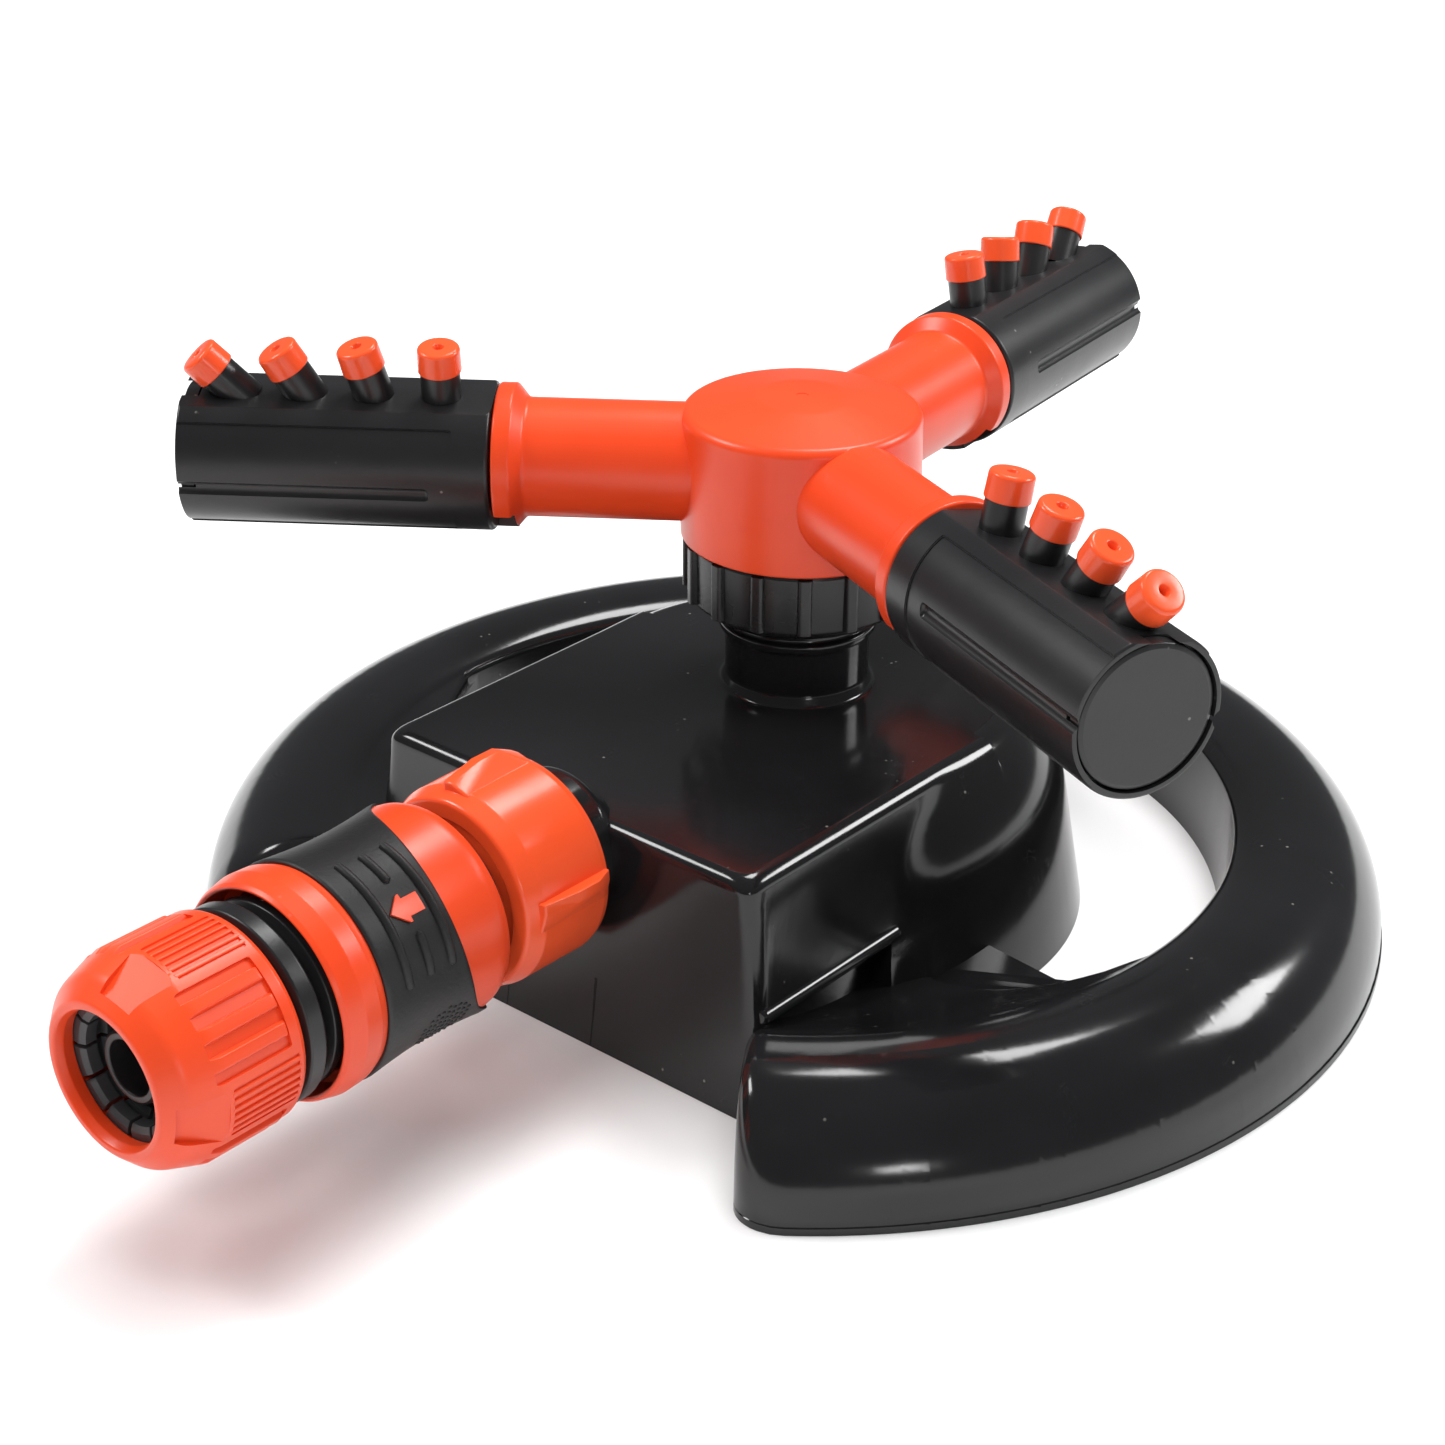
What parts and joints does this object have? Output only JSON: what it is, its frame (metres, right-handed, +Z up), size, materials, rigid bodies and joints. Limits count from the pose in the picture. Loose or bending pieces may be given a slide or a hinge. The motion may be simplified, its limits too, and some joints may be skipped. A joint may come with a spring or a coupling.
{
  "type": "rotary lawn sprinkler",
  "caption": "Rotary lawn sprinkler with orange hub and black nozzle barrels on a black ring base, fed by a quick hose connector.",
  "frame": {"origin": "on the ground, on the vertical axis that the head spins about", "axes": "+Z up along the spin axis; the hose connector leaves the housing towards -Y; +X completes the right-handed frame"},
  "size_m": [0.2122, 0.2604, 0.1027],
  "materials": {
    "base_black": "glossy black moulded plastic",
    "satin_black": "satin black plastic",
    "soft_black": "soft-touch black cover",
    "orange_plastic": "satin-gloss orange plastic",
    "orange_nozzle": "glossy orange plastic",
    "grey_acetal": "smooth dark grey acetal",
    "white_acetal": "natural white acetal",
    "rubber": "black seal rubber",
    "spring_steel": "bright drawn wire"
  },
  "bodies": {
    "base": {"base_shell": "base_black", "channel_plug": "satin_black", "riser_clip": "white_acetal", "lower_washer": "white_acetal", "upper_washer": "white_acetal", "riser_oring": "rubber", "tap_adapter": "orange_plastic", "tap_washer": "rubber", "nipple_oring": "rubber"},
    "head": {"hub_body": "orange_plastic", "collar_nut": "soft_black", "arm_oring_1": "rubber", "arm_oring_2": "rubber", "arm_oring_3": "rubber", "journal_clip_1": "white_acetal", "journal_clip_2": "white_acetal", "journal_clip_3": "white_acetal"},
    "barrel_unit_1": {"barrel_1": "satin_black", "end_cap_1": "satin_black", "nozzle_1_1": "orange_nozzle", "nozzle_1_2": "orange_nozzle", "nozzle_1_3": "orange_nozzle", "nozzle_1_4": "orange_nozzle"},
    "barrel_unit_2": {"barrel_2": "satin_black", "end_cap_2": "satin_black", "nozzle_2_1": "orange_nozzle", "nozzle_2_2": "orange_nozzle", "nozzle_2_3": "orange_nozzle", "nozzle_2_4": "orange_nozzle"},
    "barrel_unit_3": {"barrel_3": "satin_black", "end_cap_3": "satin_black", "nozzle_3_1": "orange_nozzle", "nozzle_3_2": "orange_nozzle", "nozzle_3_3": "orange_nozzle", "nozzle_3_4": "orange_nozzle"},
    "connector": {"connector_body": "satin_black", "lock_claw": "grey_acetal", "sleeve_spring": "spring_steel"},
    "sleeve": {"lock_sleeve": "orange_plastic", "grip_sleeve": "soft_black"},
    "collet": {"hose_collet": "grey_acetal"},
    "nut": {"hose_nut": "orange_plastic"}
  },
  "joints": [
    {"name": "head_spin", "type": "hinge", "parent": "base", "child": "head", "pos_m": [0, 0, 0.0815], "axis": [0, 0, 1], "continuous": true},
    {"name": "barrel_1_turn", "type": "hinge", "parent": "head", "child": "barrel_unit_1", "pos_m": [0, 0, 0.0815], "axis": [-0.8018, -0.5976, 0], "range_deg": [-30, 50]},
    {"name": "barrel_2_turn", "type": "hinge", "parent": "head", "child": "barrel_unit_2", "pos_m": [0, 0, 0.0815], "axis": [0.9184, -0.3955, 0], "range_deg": [-30, 50]},
    {"name": "barrel_3_turn", "type": "hinge", "parent": "head", "child": "barrel_unit_3", "pos_m": [0, 0, 0.0815], "axis": [-0.1167, 0.9932, 0], "range_deg": [-30, 50]},
    {"name": "connector_swivel", "type": "hinge", "parent": "base", "child": "connector", "pos_m": [0, -0.1, 0.0349], "axis": [0, -1, 0], "continuous": true},
    {"name": "sleeve_slide", "type": "slide", "parent": "connector", "child": "sleeve", "axis": [0, -1, 0], "range_m": [0, 0.004], "stiffness_N_per_m": 400, "springref_m": -0.004, "deforming": ["sleeve_spring"]},
    {"name": "collet_travel", "type": "slide", "parent": "connector", "child": "collet", "axis": [0, -1, 0], "range_m": [0, 0.006]},
    {"name": "hose_nut_turn", "type": "hinge", "parent": "collet", "child": "nut", "pos_m": [0, -0.1426, 0.0349], "axis": [0, -1, 0], "range_deg": [0, 720]}
  ],
  "couplings": [
    {"joint": "collet_travel", "follows": "hose_nut_turn", "m_per_rad": 0.000477}
  ]
}
